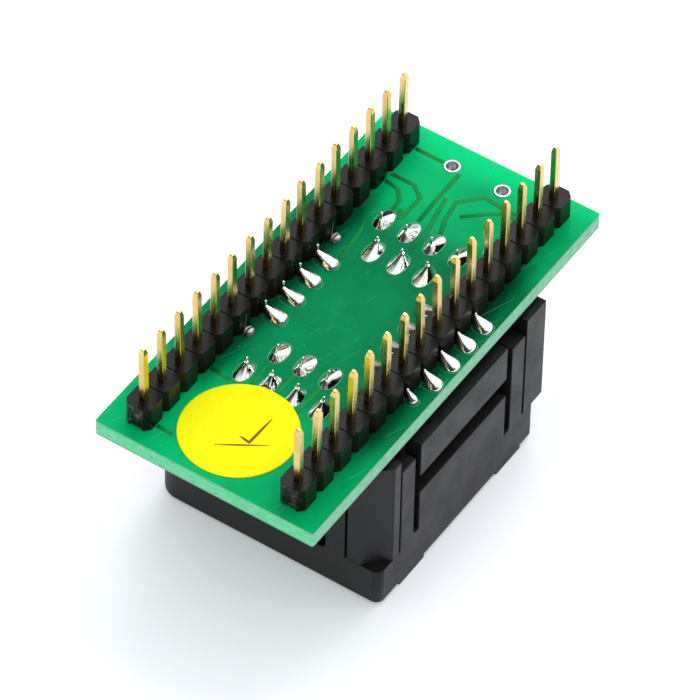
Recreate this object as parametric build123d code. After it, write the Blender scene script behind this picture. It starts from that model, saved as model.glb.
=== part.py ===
from build123d import *
import os

# A chip programming adapter: a green board with two rows of square pins on one side
# and a sprung-contact socket for a 32-lead square-leaded chip carrier on the other.
# It lies as photographed, pins up, with the socket's mouth on the surface.
# X runs along the pin rows towards the end with two spare holes, Y runs across them,
# Z is up, and Z = 0 is the surface. All sizes are in millimetres.

# Pin field
pin_pitch = 2.54
pins_per_row = 16
row_spacing = 15.24
pin_size = 0.6
pin_rise = 6.0                  # pin above the strip's plastic
pin_point = 0.5                 # length of the pyramid at the tip
pin_flat = 0.3                  # width left at the tip
tail_drop = 1.25                # trimmed tail below the board

# Header strips
strip_width = 2.5
strip_height = 2.45
strip_corner = 0.5              # corner cut of each octagonal segment
strip_channel_width = 1.3       # groove along the underside
strip_channel_depth = 0.25
break_line_width = 0.12         # scored line between two segments
break_line_depth = 0.1

# Board
board_length = 43.18
board_width = 21.59
board_thickness = 1.6
board_corner = 0.2
pin_hole_r = 0.5
lead_hole_r = 0.4

# Two spare plated holes at the far end, in line with the last pins
spare_spacing = 5.08
spare_bore_r = 0.5
spare_barrel_r = 0.68
spare_ring_r = 0.78
spare_ring_rise = 0.06

# Filled vias beside the left row
via_x = 6.35
via_inset = 0.14                # the caps end flat against the strip's side
via_r = 0.55
via_rise = 0.22

# Round inspection label
label_gap = 0.59                # from the near outer row's leads to the label
label_y = 0.45
label_r = 5.1
label_thickness = 0.1

# Socket outline
socket_length = 24.8
socket_width = 22.8
socket_corner = 2.1             # the rim's two rounded corners, on the left side
key_corner = 0.8                # rounding of the rim's corner below the keyed post
rim_corner_cut = 1.6            # the rim's fourth corner is cut flat
post_length = 2.88              # corner post along X
post_width = 3.3                # corner post along Y
post_key = 2.0                  # corner cut of the one post that shows which way round it is
skirt_wall = 1.5
finger_width = 1.94
finger_gap = 0.25               # line between finger and post
slot_width = 0.8                # slot between finger and middle skirt
slide_gap = 0.1                 # clearance between the two mouldings

# Socket heights
pad_rise = 0.15                 # low pads on the long sides, that the cover rests on
pad_depth = 1.2
pad_start = 1.0                 # from the middle skirt's end to the pad
rim_edge = 0.3                  # edge cut round the rim's foot
rim_height = 4.3                # the cover's full rim, up to the posts' ends
mouth_plate = 2.0               # plate round the chip window
slot_floors = (0.35, -0.15)     # bottoms of each side's two slots, from the rim's top
slot_fillet = 0.45              # rounding at the finger's foot
skirt_rise = 4.95               # middle skirt above the rim
finger_rise = 10.0              # snap fingers above the rim
hook_height = 0.75
hook_reach = 0.5
hook_nose = 0.25
post_rise = 11.55               # posts above the rim
foot_rise = 0.65                # post tops above the base plate
tail_clearance = 0.1            # from a soldered tail to the posts
plate_thickness = 2.9
panel_height = 3.85             # side panel, hanging from the base plate's top

# Chip window and pocket
window_length = 15.7
window_width = 13.2
window_lead_in = 1.0
pocket_length = 15.3
pocket_width = 12.8
pocket_depth = 3.4
key_cut = 1.0                   # cut corner of window and pocket
frame_gap = 0.2                 # contact frame to cover

# Contacts
contact_pitch = 1.27
contacts_long = 9
contacts_short = 7
contact_thickness = 0.3
contact_width = 0.4
contact_slot = 0.5
slot_reach = 0.3                # slot's inner end from the inner lead row
inner_row_gap = 0.32            # long sides: the leads straddle the header strips
outer_row_gap = 0.08
inner_row_x = 7.62
outer_row_x = 10.16
chip_leads_x = 14.99            # over the chip's leads, along X and Y
chip_leads_y = 12.45
arm_setback = 2.1               # spring arm outside the chip's leads
jog_drop = 0.55                 # the contact's jog below the base plate
arm_end = 3.8                   # the arm's bend inwards, above the nose
shoulder = (1.0, 1.5)           # the next bend: inwards from the arm, above the nose
nose_preload = 0.15             # how far a free nose reaches inside the lead
nose_height = 4.7
tip_return = (0.8, 1.5)         # the tip: outwards and down from the nose
lead_rise = 1.35                # lead tips above the board

# Solder
joint_rise = 1.0
joint_width = 1.35
joint_top_r = 0.3
inner_joint = (0.3, 1.75)       # reach outwards and inwards from the lead, long sides
outer_joint = (1.5, 0.27)
end_joint = (1.2, 1.2)          # both rows of the short sides
tail_joint_r = 0.85
tail_joint_waist_r = 0.58
tail_joint_waist = 0.3
tail_joint_end_r = 0.46
tail_joint_end = 0.9

# Levels worked out from the sizes above
rim_top = rim_height
post_top = rim_top + post_rise
plate_top = post_top - foot_rise
plate_bottom = plate_top - plate_thickness
board_bottom = plate_top + tail_drop
board_top = board_bottom + board_thickness
strip_top = board_top + strip_height
pin_tip = strip_top + pin_rise
frame_bottom = mouth_plate + frame_gap
hook_seat = rim_top + finger_rise - hook_height
half_x = socket_length / 2
half_y = socket_width / 2
strip_inner_side = (row_spacing - strip_width) / 2
strip_outer_side = (row_spacing + strip_width) / 2
inner_row_y = strip_inner_side - inner_row_gap
outer_row_y = strip_outer_side + outer_row_gap
via_y = strip_inner_side - via_inset
label_x = -(outer_row_x + label_gap + label_r)

# Each side of the socket seen from outside: turn about Z, distance from the middle to the
# face, half of the face's run, the posts' width along that run, and its contacts
long_side = dict(face=half_y, run=half_x, post=post_length, count=contacts_long,
                 inner=inner_row_y, outer=outer_row_y, chip=chip_leads_y / 2)
short_side = dict(face=half_x, run=half_y, post=post_width, count=contacts_short,
                  inner=inner_row_x, outer=outer_row_x, chip=chip_leads_x / 2)
sides = {
    "right": dict(turn=0, **long_side),
    "far": dict(turn=90, **short_side),
    "left": dict(turn=180, **long_side),
    "near": dict(turn=270, **short_side),
}


def block(x0, x1, y0, y1, z0, z1):
    middle = Pos((x0 + x1) / 2, (y0 + y1) / 2, (z0 + z1) / 2)
    return middle * Box(x1 - x0, y1 - y0, z1 - z0)


def side_block(side, u0, u1, v0, v1, z0, z1):
    """A box on one side: u along the face, v outwards from the socket's middle."""
    return Rot(0, 0, side["turn"]) * block(u0, u1, -v1, -v0, z0, z1)


def side_prism(side, points, u0, u1):
    """A profile of (v, z) points, carried along the face from u0 to u1."""
    outline = [Vector(u0, -v, z) for v, z in points]
    wire = Wire.make_polygon(outline, close=True)
    return Rot(0, 0, side["turn"]) * Solid.extrude(Face(wire), Vector(u1 - u0, 0, 0))


def finger_span(side):
    outer = side["run"] - side["post"] - finger_gap
    return outer - finger_width, outer


def middle_half(side):
    return finger_span(side)[0] - slot_width


def pin_places():
    reach = (pins_per_row - 1) / 2 * pin_pitch
    return [reach - i * pin_pitch for i in range(pins_per_row)]


def lead_rows(side):
    """Lead places on one side, alternately in the outer and the inner row."""
    half = side["count"] // 2
    for i in range(-half, half + 1):
        outer = (i + half) % 2 == 0
        yield i * contact_pitch, side["outer"] if outer else side["inner"], outer


def cross_plan(reach_x, reach_y, corner_x, corner_y):
    """A rectangle with square corners left out for the posts."""
    return Rectangle(2 * reach_x, 2 * corner_y) + Rectangle(2 * corner_x, 2 * reach_y)


def keyed_plan(length, width):
    """A rectangle with its corner cut beside the keyed post."""
    x, y = length / 2, width / 2
    points = [(-x + key_cut, -y), (x, -y), (x, y), (-x, y), (-x, -y + key_cut)]
    return Polygon(*points, align=None)


def circuit_board():
    holes = [Pos(x, y) * Circle(pin_hole_r)
             for x in pin_places() for y in (-row_spacing / 2, row_spacing / 2)]
    holes += [Rot(0, 0, side["turn"]) * Pos(u, -v) * Circle(lead_hole_r)
              for side in sides.values() for u, v, _ in lead_rows(side)]
    holes += [Pos(pin_places()[0], y) * Circle(spare_barrel_r)
              for y in (-spare_spacing / 2, spare_spacing / 2)]
    plate = RectangleRounded(board_length, board_width, board_corner) - holes
    return extrude(Pos(0, 0, board_bottom) * plate, board_thickness)


def header_strip(y):
    segment = chamfer(Rectangle(pin_pitch, strip_width).vertices(), strip_corner)
    outline = Sketch() + [Pos(x, y) * segment for x in pin_places()]
    outline -= [Pos(x, y) * Rectangle(pin_size, pin_size) for x in pin_places()]
    strip = extrude(Pos(0, 0, board_top) * outline, strip_height)
    reach = pin_places()[0] + pin_pitch
    half_channel = strip_channel_width / 2
    cuts = [block(-reach, reach, y - half_channel, y + half_channel,
                  board_top, board_top + strip_channel_depth)]
    for x in pin_places()[1:]:
        line = x + pin_pitch / 2
        cuts.append(block(line - break_line_width / 2, line + break_line_width / 2,
                          y - strip_width, y + strip_width, strip_top - break_line_depth, strip_top))
    return strip - cuts


def header_pin(x, y):
    shaft = block(x - pin_size / 2, x + pin_size / 2, y - pin_size / 2, y + pin_size / 2,
                  plate_top, pin_tip - pin_point)
    foot = Pos(x, y, pin_tip - pin_point) * Rectangle(pin_size, pin_size)
    point = loft([foot, Pos(x, y, pin_tip) * Rectangle(pin_flat, pin_flat)])
    return shaft + point


def tail_joints(y):
    """Solder cones round the trimmed pin tails, on the socket's side of the board."""
    profile = Polygon((0, 0), (tail_joint_r, 0), (tail_joint_waist_r, -tail_joint_waist),
                      (tail_joint_end_r, -tail_joint_end), (0, -tail_joint_end), align=None)
    cone = revolve(Plane.XZ * profile, Axis.Z)
    cone -= block(-pin_size / 2, pin_size / 2, -pin_size / 2, pin_size / 2, -tail_joint_end, 0)
    return Compound([Pos(x, y, board_bottom) * cone.solid() for x in pin_places()])


def spare_hole_ring(y):
    lower = board_bottom - spare_ring_rise
    height = board_thickness + 2 * spare_ring_rise
    ring = extrude(Pos(0, 0, lower) * Circle(spare_barrel_r), height)
    for z in (lower, board_top):
        ring += extrude(Pos(0, 0, z) * Circle(spare_ring_r), spare_ring_rise)
    ring -= extrude(Pos(0, 0, lower) * Circle(spare_bore_r), height)
    return Pos(pin_places()[0], y) * ring


def via_caps():
    cap_r = (via_r ** 2 + via_rise ** 2) / (2 * via_rise)
    ball = Pos(0, 0, via_rise - cap_r) * Sphere(cap_r)
    cap = ball & block(-via_r, via_r, -via_r, via_inset, 0, via_rise)
    return Compound([Pos(x, via_y, board_top) * cap.solid() for x in (-via_x, via_x)])


def inspection_label():
    return Pos(label_x, label_y, board_top) * extrude(Circle(label_r), label_thickness)


def socket_base():
    inner_x = half_x - skirt_wall - slide_gap
    inner_y = half_y - skirt_wall - slide_gap
    base = block(-inner_x, inner_x, -inner_y, inner_y, plate_bottom, plate_top)
    added, cuts = [], []
    for sx in (-1, 1):
        for sy in (-1, 1):
            plan = Rectangle(post_length, post_width)
            if sx < 0 and sy < 0:
                corner = min(plan.vertices(), key=lambda v: v.X + v.Y)
                plan = chamfer(corner, post_key)
            place = Pos(sx * (half_x - post_length / 2), sy * (half_y - post_width / 2), rim_top)
            added.append(extrude(place * plan, post_rise))
    tail_room = Circle(tail_joint_waist_r + tail_clearance)
    cuts += [extrude(Pos(x, y, plate_top) * tail_room, foot_rise)
             for x in pin_places() for y in (-row_spacing / 2, row_spacing / 2)]
    for side in sides.values():
        half = middle_half(side)
        inner = side["face"] - skirt_wall - slide_gap
        added.append(side_block(side, -half, half, inner, side["face"],
                                plate_top - panel_height, plate_top))
        low, high = finger_span(side)
        for u0, u1 in ((low, high), (-high, -low)):
            cuts.append(side_block(side, u0 - slide_gap, u1 + slide_gap,
                                   inner - hook_reach, inner, hook_seat, plate_top))
        arm = side["chip"] + arm_setback
        for u, v, _ in lead_rows(side):
            u0, u1 = u - contact_thickness / 2, u + contact_thickness / 2
            cuts.append(side_block(side, u0, u1, v - contact_width / 2, v + contact_width / 2,
                                   plate_bottom, plate_top))
            cuts.append(side_block(side, u0, u1, min(v, arm) - contact_width / 2,
                                   max(v, arm) + contact_width / 2,
                                   plate_top - panel_height, plate_bottom))
    return base + added - cuts


def rim_plan():
    """The rim's outline: its four corners are not alike."""
    plan = Rectangle(socket_length, socket_width)
    plan = fillet([v for v in plan.vertices() if v.Y > 0], socket_corner)
    plan = fillet(min(plan.vertices(), key=lambda v: v.X + v.Y), key_corner)
    return chamfer(max(plan.vertices(), key=lambda v: v.X - v.Y), rim_corner_cut)


def finger_slot(side, low, floor, way):
    """The cutter between a finger and the middle skirt, rounded at the finger's foot."""
    half = middle_half(side)
    cutter = block(half, low, -side["face"], skirt_wall - side["face"],
                   rim_top + floor, rim_top + finger_rise)
    foot = max(cutter.edges().filter_by(Axis.Y), key=lambda e: e.center().X - e.center().Z)
    cutter = fillet(foot, slot_fillet)
    if way < 0:
        cutter = mirror(cutter, Plane.YZ)
    return Rot(0, 0, side["turn"]) * cutter


def socket_cover():
    rim = extrude(Pos(0, 0, pad_rise) * rim_plan(), rim_top - pad_rise)
    rim = chamfer(rim.faces().sort_by(Axis.Z)[0].edges(), rim_edge)
    cavity = cross_plan(half_x - skirt_wall, half_y - skirt_wall,
                        half_x - post_length, half_y - post_width)
    rim -= extrude(Pos(0, 0, mouth_plate) * cavity, rim_top - mouth_plate)
    rim -= extrude(Pos(0, 0, pad_rise) * keyed_plan(window_length, window_width), mouth_plate)
    mouth = keyed_plan(window_length + 2 * window_lead_in, window_width + 2 * window_lead_in)
    lead_in = loft([Pos(0, 0, pad_rise) * mouth,
                    Pos(0, 0, pad_rise + window_lead_in) * keyed_plan(window_length, window_width)])
    added, slots = [], []
    for name, side in sides.items():
        face, half = side["face"], middle_half(side)
        low, high = finger_span(side)
        inner = face - skirt_wall
        added.append(side_block(side, -high, high, inner, face, rim_top, rim_top + skirt_rise))
        slots += [finger_slot(side, low, floor, way) for floor, way in zip(slot_floors, (-1, 1))]
        finger_top = rim_top + finger_rise
        hook = [(inner, hook_seat), (inner - hook_reach, hook_seat),
                (inner - hook_reach, hook_seat + hook_nose), (inner, finger_top)]
        for u0, u1 in ((low, high), (-high, -low)):
            added.append(side_block(side, u0, u1, inner, face, rim_top, finger_top))
            added.append(side_prism(side, hook, u0, u1))
        if name in ("left", "right"):
            for u0, u1 in ((half - pad_start, high), (-high, pad_start - half)):
                added.append(side_block(side, u0, u1, face - pad_depth, face, 0,
                                        pad_rise + rim_edge))
    return rim - lead_in + added - slots


def contact_frame():
    reach_x = half_x - skirt_wall - frame_gap
    reach_y = half_y - skirt_wall - frame_gap
    plan = cross_plan(reach_x, reach_y, half_x - post_length - slide_gap,
                      half_y - post_width - slide_gap)
    frame = extrude(Pos(0, 0, frame_bottom) * plan, plate_bottom - frame_bottom)
    pocket = keyed_plan(pocket_length, pocket_width)
    frame -= extrude(Pos(0, 0, frame_bottom) * pocket, pocket_depth)
    slots = [side_block(side, u - contact_slot / 2, u + contact_slot / 2,
                        side["inner"] - slot_reach, side["face"], frame_bottom, plate_bottom)
             for side in sides.values() for u, _, _ in lead_rows(side)]
    return frame - slots


def contact(side, u, v):
    """One stamped contact: leg up through the board, jog, spring arm and nose."""
    arm = side["chip"] + arm_setback
    nose = side["chip"] - nose_preload
    jog = plate_bottom - jog_drop
    path = [(v, board_top + lead_rise), (v, jog), (arm, jog), (arm, nose_height + arm_end),
            (arm - shoulder[0], nose_height + shoulder[1]), (nose, nose_height),
            (nose + tip_return[0], nose_height - tip_return[1])]
    line = Polyline(*[(0, -y, z) for y, z in path])
    strip = Plane.YZ.to_local_coords(line)
    blank = trace(strip, contact_width)
    solid = extrude(Plane.YZ * blank, contact_thickness / 2, both=True)
    return Rot(0, 0, side["turn"]) * Pos(u, 0, 0) * solid


def side_contacts(side):
    solids = [contact(side, u, v).solid() for u, v, _ in lead_rows(side)]
    return Compound(solids)


def lead_joint(side, u, v, reach):
    """A solder cone on an oval pad, round one lead on the pin side. The label covers the
    pad's end of some of them."""
    out, back = reach
    length = out + back
    foot = Pos(0, -(out - back) / 2, board_top) * Rot(0, 0, 90) * SlotOverall(length, joint_width)
    cone = loft([foot, Pos(0, 0, board_top + joint_rise) * Circle(joint_top_r)])
    cone -= block(-contact_thickness / 2, contact_thickness / 2, -contact_width / 2,
                  contact_width / 2, board_top, board_top + joint_rise)
    under_label = Pos(label_x, label_y, board_top) * extrude(Circle(label_r), joint_rise)
    return Rot(0, 0, side["turn"]) * Pos(u, -v, 0) * cone - under_label


def side_joints(side):
    ends = side is sides["far"] or side is sides["near"]
    solids = []
    for u, v, outer in lead_rows(side):
        reach = end_joint if ends else outer_joint if outer else inner_joint
        solids.append(lead_joint(side, u, v, reach).solid())
    return Compound(solids)


def pieces():
    half_row = row_spacing / 2
    rows = {"left": half_row, "right": -half_row}
    yield "circuit_board", circuit_board()
    for name, y in rows.items():
        yield f"header_strip_{name}", header_strip(y)
        yield f"tail_joints_{name}", tail_joints(y)
        for i, x in enumerate(pin_places()):
            yield f"header_pin_{name}_{i + 1:02d}", header_pin(x, y)
    for name, y in (("left", spare_spacing / 2), ("right", -spare_spacing / 2)):
        yield f"spare_hole_ring_{name}", spare_hole_ring(y)
    yield "via_caps", via_caps()
    yield "inspection_label", inspection_label()
    yield "socket_base", socket_base()
    yield "contact_frame", contact_frame()
    yield "socket_cover", socket_cover()
    for name, side in sides.items():
        yield f"contacts_{name}", side_contacts(side)
        yield f"lead_joints_{name}", side_joints(side)


if __name__ == "__main__":
    os.makedirs("parts", exist_ok=True)
    for name, shape in pieces():
        export_step(shape, f"parts/{name}.step")
        print(name, round(shape.volume, 3))
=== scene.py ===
import bmesh
import bpy
import math
import numpy as np
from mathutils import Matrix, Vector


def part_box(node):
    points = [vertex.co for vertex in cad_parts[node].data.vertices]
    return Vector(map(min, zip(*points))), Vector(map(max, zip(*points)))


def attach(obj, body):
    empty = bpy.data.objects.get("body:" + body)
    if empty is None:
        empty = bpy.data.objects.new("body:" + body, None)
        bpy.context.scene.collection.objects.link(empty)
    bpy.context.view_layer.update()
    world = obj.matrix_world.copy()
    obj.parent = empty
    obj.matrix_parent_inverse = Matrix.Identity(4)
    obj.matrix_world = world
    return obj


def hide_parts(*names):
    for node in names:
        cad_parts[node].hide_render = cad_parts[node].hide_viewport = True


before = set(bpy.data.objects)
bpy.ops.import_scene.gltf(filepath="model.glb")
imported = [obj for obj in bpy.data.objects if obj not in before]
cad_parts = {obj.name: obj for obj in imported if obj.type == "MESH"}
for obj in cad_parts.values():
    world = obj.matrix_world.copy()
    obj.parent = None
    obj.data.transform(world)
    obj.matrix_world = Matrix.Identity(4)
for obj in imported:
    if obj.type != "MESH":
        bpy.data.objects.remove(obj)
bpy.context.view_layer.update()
print("frame loaded:", len(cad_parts), "nodes")

mm = 0.001
boardUnder, boardTop = (corner.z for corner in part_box("circuit_board"))
socketTop, stripTop, pinTop = (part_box(node)[1].z for node in (
    "socket_base", "header_strip_left", "header_pin_left_01"))


def placeObject(name, data):
    placed = bpy.data.objects.new(name, data)
    bpy.context.scene.collection.objects.link(placed)
    return placed


def setMaterial(piece, material):
    piece.data.materials.clear()
    piece.data.materials.append(material)


def finishPiece(piece, material, standsFor):
    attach(piece, "root")
    setMaterial(piece, material)
    if standsFor:
        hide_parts(*standsFor)


def makePiece(name, points, faces, material, slotName, standsFor=(), sharpAngle=None):
    # a smooth mesh with its faces turned outwards; edges over sharpAngle degrees stay crisp
    mesh = bpy.data.meshes.new(name)
    mesh.from_pydata(np.asarray(points).reshape(-1, 3).tolist(), [], faces)
    work = bmesh.new()
    work.from_mesh(mesh)
    bmesh.ops.recalc_face_normals(work, faces=work.faces)
    work.to_mesh(mesh)
    work.free()
    mesh.shade_smooth()
    if sharpAngle:
        mesh.set_sharp_from_angle(angle=math.radians(sharpAngle))
    finishPiece(placeObject(name, mesh), material, standsFor)


def fullTurn(steps):
    return np.arange(steps) * 2 * np.pi / steps


def tubeFaces(copies, rings, around):
    # quads between neighbouring rings, then one flat face on the first and the last ring
    c, i, j = np.meshgrid(np.arange(copies), np.arange(rings - 1), np.arange(around), indexing="ij")
    first = (c * rings + i) * around
    a, b = first + j, first + (j + 1) % around
    quads = np.stack([a, b, b + around, a + around], -1).reshape(-1, 4).tolist()
    starts = np.arange(copies) * rings * around
    bottoms = (starts[:, None] + np.arange(around)[::-1]).tolist()
    tops = (starts[:, None] + (rings - 1) * around + np.arange(around)).tolist()
    return quads + bottoms + tops


def ringFaces(rings, around):
    # quads over a surface that closes both ways
    i, j = np.meshgrid(np.arange(rings), np.arange(around), indexing="ij")
    after, beside = (i + 1) % rings, (j + 1) % around
    return np.stack([i * around + j, i * around + beside, after * around + beside,
                     after * around + j], -1).reshape(-1, 4).tolist()


def joinParts(*parts):
    # several (points, faces) sets as one
    points, faces, start = [], [], 0
    for partPoints, partFaces in parts:
        flat = np.asarray(partPoints).reshape(-1, 3)
        points.append(flat)
        faces += [[corner + start for corner in face] for face in partFaces]
        start += len(flat)
    return np.concatenate(points), faces


ribbon = dict(sides=8, foot=-0.3)    # foot: how far it goes into the board, as a share of its rise


def sweepRibbon(path, halfWidth, rise, base, closed=False):
    # a low closed bead laid along a path on the board:
    # point = path + side * half width * sin(a) + up * rise * the upper part of cos(a)
    around = ribbon["sides"]
    run = np.roll(path, -1, 0) - path
    if not closed:
        run[-1] = run[-2]
    run /= np.linalg.norm(run, axis=1, keepdims=True)
    before = np.roll(run, 1, 0)
    if not closed:
        before[0] = run[0]
    mean = before + run
    mean /= np.linalg.norm(mean, axis=1, keepdims=True)
    side = np.stack([-mean[:, 1], mean[:, 0]], -1) / np.sum(mean * run, 1, keepdims=True)
    arc = fullTurn(around)
    width = np.broadcast_to(halfWidth, len(path))[:, None, None]
    plan = path[:, None] + side[:, None] * width * np.sin(arc)[None, :, None]
    height = base + rise * np.clip(np.cos(arc), ribbon["foot"], 1)
    points = np.dstack([plan, np.broadcast_to(height, plan.shape[:2])])
    faces = ringFaces(len(path), around) if closed else tubeFaces(1, len(path), around)
    return points, faces


# sharpFrom: degrees between two faces that get a rounded edge
softEdges = dict(strip=0.05 * mm, socket=0.08 * mm, steps=2, sharpFrom=35,
                 mergeWithin=0.001 * mm, flatWithin=1)


def softenedCopy(name, node, width, material):
    # the CAD solid again, with its doubles merged and its sharp edges rounded by width
    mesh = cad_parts[node].data.copy()
    mesh.name = name
    piece = placeObject(name, mesh)
    work = bmesh.new()
    work.from_mesh(mesh)
    bmesh.ops.remove_doubles(work, verts=work.verts, dist=softEdges["mergeWithin"])
    bmesh.ops.dissolve_limit(work, angle_limit=math.radians(softEdges["flatWithin"]),
                             verts=work.verts, edges=work.edges)
    work.to_mesh(mesh)
    work.free()
    mesh.shade_smooth()
    edges = piece.modifiers.new("edges", "BEVEL")
    edges.width = width
    edges.segments = softEdges["steps"]
    edges.limit_method = "ANGLE"
    edges.angle_limit = math.radians(softEdges["sharpFrom"])
    evenShade = piece.modifiers.new("evenShade", "WEIGHTED_NORMAL")
    evenShade.weight = 100
    evenShade.mode = "FACE_AREA"
    finishPiece(piece, material, [node])


def fill(tree, socket, value):
    # a link when the value comes from another node
    if isinstance(value, bpy.types.NodeSocket):
        tree.links.new(value, socket)
    else:
        socket.default_value = value


def addNode(tree, kind, settings=None, **inputs):
    made = tree.nodes.new(kind)
    for key, value in (settings or {}).items():
        setattr(made, key, value)
    for key, value in inputs.items():
        fill(tree, made.inputs[key.replace("_", " ")], value)
    return made


def fedNode(tree, kind, settings, *values):
    # a node with its first inputs filled in order
    made = addNode(tree, kind, settings)
    for socket, value in zip(made.inputs, values):
        fill(tree, socket, value)
    return made


def calc(tree, operation, *values):
    return fedNode(tree, "ShaderNodeMath", {"operation": operation}, *values).outputs[0]


def addShare(tree, base, value, share):
    return calc(tree, "ADD", base, calc(tree, "MULTIPLY", value, share))


def remap(tree, value, low, high, toLow=0.0, toHigh=1.0):
    made = addNode(tree, "ShaderNodeMapRange", {"interpolation_type": "SMOOTHSTEP"}, Value=value,
                   From_Min=low, From_Max=high, To_Min=toLow, To_Max=toHigh)
    return made.outputs["Result"]


def mixColors(tree, amount, a, b, blend="MIX"):
    made = addNode(tree, "ShaderNodeMix", {"data_type": "RGBA", "blend_type": blend})
    for index, value in ((0, amount), (6, a), (7, b)):
        fill(tree, made.inputs[index], (*value, 1.0) if isinstance(value, tuple) else value)
    return made.outputs[2]


def noise(tree, spot, scale, detail=2.0, **more):
    return addNode(tree, "ShaderNodeTexNoise", Vector=spot, Scale=scale, Detail=detail,
                   **more).outputs["Fac"]


def stretched(tree, spot, scale):
    return addNode(tree, "ShaderNodeMapping", Vector=spot, Scale=scale).outputs["Vector"]


def split(tree, spot):
    return addNode(tree, "ShaderNodeSeparateXYZ", Vector=spot).outputs


def newGroup(name, outputs, **inputs):
    # a shader group of numbers made from a Vector and further numbers
    group = bpy.data.node_groups.new(name, "ShaderNodeTree")
    group.interface.new_socket("Vector", in_out="INPUT", socket_type="NodeSocketVector")
    for label, value in inputs.items():
        group.interface.new_socket(label.replace("_", " "), in_out="INPUT",
                                   socket_type="NodeSocketFloat").default_value = value
    for label in outputs:
        group.interface.new_socket(label, in_out="OUTPUT", socket_type="NodeSocketFloat")
    start, end = group.nodes.new("NodeGroupInput"), group.nodes.new("NodeGroupOutput")
    return group, start.outputs, end.inputs


grainLook = dict(fine=dict(detail=3.0, Roughness=0.6), slowPerMm=0.35, slowShare=0.7,
                 fineShare=0.3)


def buildGrain():
    # two sizes of noise added up: a fine moulded skin and slow unevenness
    group, start, end = newGroup("mouldedGrain", ("Height", "Tone"), Per_mm=8.0)
    fine = noise(group, start["Vector"], start["Per mm"], **grainLook["fine"])
    slow = noise(group, start["Vector"], grainLook["slowPerMm"])
    fill(group, end["Height"], fine)
    fill(group, end["Tone"], addShare(group, calc(group, "MULTIPLY", slow, grainLook["slowShare"]),
                                      fine, grainLook["fineShare"]))
    return group


marksLook = dict(stretch=(0.16, 9.0, 1.0), detail=1.5, edge=0.03, specksPerMm=0.9,
                 speck=(0.035, 0.07))


def buildMarks():
    # streaks of noise stretched along one direction and cut at a high level are scratches;
    # small round cells cut close to their centres are specks of dust
    group, start, end = newGroup("handlingMarks", ("Scratches", "Specks"), Angle=0.0, Rarity=0.7)
    spun = addNode(group, "ShaderNodeVectorRotate", {"rotation_type": "Z_AXIS"},
                   Vector=start["Vector"], Angle=start["Angle"]).outputs["Vector"]
    streak = noise(group, stretched(group, spun, marksLook["stretch"]), 1.0, marksLook["detail"])
    above = calc(group, "SUBTRACT", streak, start["Rarity"])
    fill(group, end["Scratches"], remap(group, above, 0.0, marksLook["edge"]))
    cells = addNode(group, "ShaderNodeTexVoronoi", Vector=start["Vector"],
                    Scale=marksLook["specksPerMm"])
    fill(group, end["Specks"],
         remap(group, cells.outputs["Distance"], *marksLook["speck"], 1.0, 0.0))
    return group


glossLook = dict(wavesPerMm=0.6, weaveTurn=12.0, weaveDepth=0.03, rough=(0.2, 0.34))


def buildGloss():
    # cured lacquer: long soft waves, and a faint weave of the glass cloth below it
    group, start, end = newGroup("lacquerGloss", ("Height", "Roughness", "Weave"))
    wave = noise(group, start["Vector"], glossLook["wavesPerMm"])
    part = split(group, start["Vector"])
    weave = calc(group, "MULTIPLY", *(
        calc(group, "SINE", calc(group, "MULTIPLY", part[axis], glossLook["weaveTurn"]))
        for axis in "XY"))
    fill(group, end["Height"], addShare(group, wave, weave, glossLook["weaveDepth"]))
    fill(group, end["Roughness"], remap(group, wave, 0.3, 0.7, *glossLook["rough"]))
    fill(group, end["Weave"], weave)
    return group


# in mm: where the socket's shade ends along the board, where the strips are, a strip's shade
# measured from its face, and where along the strip this is lost
light = dict(reach=11.8, fade=3.6, wander=2.6, stripMiddle=7.62, stripHalf=1.22,
             underStrip=(-1.4, -0.6), besideStrip=(0.1, 1.7), besideEnds=(10.0, 16.0))


def buildBoardLight():
    # the dark socket keeps light from the middle of the board (Through is 0 there), and each strip
    # shades a band on its -Y side (Beside is 1 there)
    group, start, end = newGroup("boardLight", ("Through", "Beside"), Tone=0.5)
    part = split(group, start["Vector"])
    away = calc(group, "ABSOLUTE", part["X"])
    reached = addShare(group, away, start["Tone"], light["wander"])
    fill(group, end["Through"], remap(group, reached, light["reach"] - light["fade"] / 2,
                                      light["reach"] + light["fade"]))
    besides = []
    for sign in (1, -1):
        gap = calc(group, "SUBTRACT", sign * light["stripMiddle"] - light["stripHalf"], part["Y"])
        besides.append(calc(group, "MULTIPLY", remap(group, gap, *light["besideStrip"], 1.0, 0.0),
                            remap(group, gap, *light["underStrip"])))
    fill(group, end["Beside"], calc(group, "MULTIPLY", calc(group, "ADD", *besides),
                                    remap(group, away, *light["besideEnds"], 1.0, 0.0)))
    return group


hairLook = dict(detail=1.0, thickness=(0.003, 0.012), patchesPerMm=0.45, patch=(0.52, 0.6))


def buildHairs():
    # thin curved threads where slow noise crosses its middle value, kept only in some patches
    group, start, end = newGroup("clothHairs", ("Hairs",), Per_mm=0.5)
    field = noise(group, start["Vector"], start["Per mm"], hairLook["detail"])
    off = calc(group, "ABSOLUTE", calc(group, "SUBTRACT", field, 0.5))
    patch = noise(group, start["Vector"], hairLook["patchesPerMm"])
    hairs = calc(group, "MULTIPLY", remap(group, off, *hairLook["thickness"], 1.0, 0.0),
                 remap(group, patch, *hairLook["patch"]))
    fill(group, end["Hairs"], hairs)
    return group


mouldedGrain = buildGrain()
handlingMarks = buildMarks()
lacquerGloss = buildGloss()
boardLight = buildBoardLight()
clothHairs = buildHairs()


def plainMaterial(name, shaderValues):
    material = bpy.data.materials.new(name)
    material.use_nodes = True
    tree = material.node_tree
    shader = tree.nodes["Principled BSDF"].inputs
    for key, value in shaderValues.items():
        shader[key.replace("_", " ")].default_value = value
    return material, tree, shader


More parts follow.
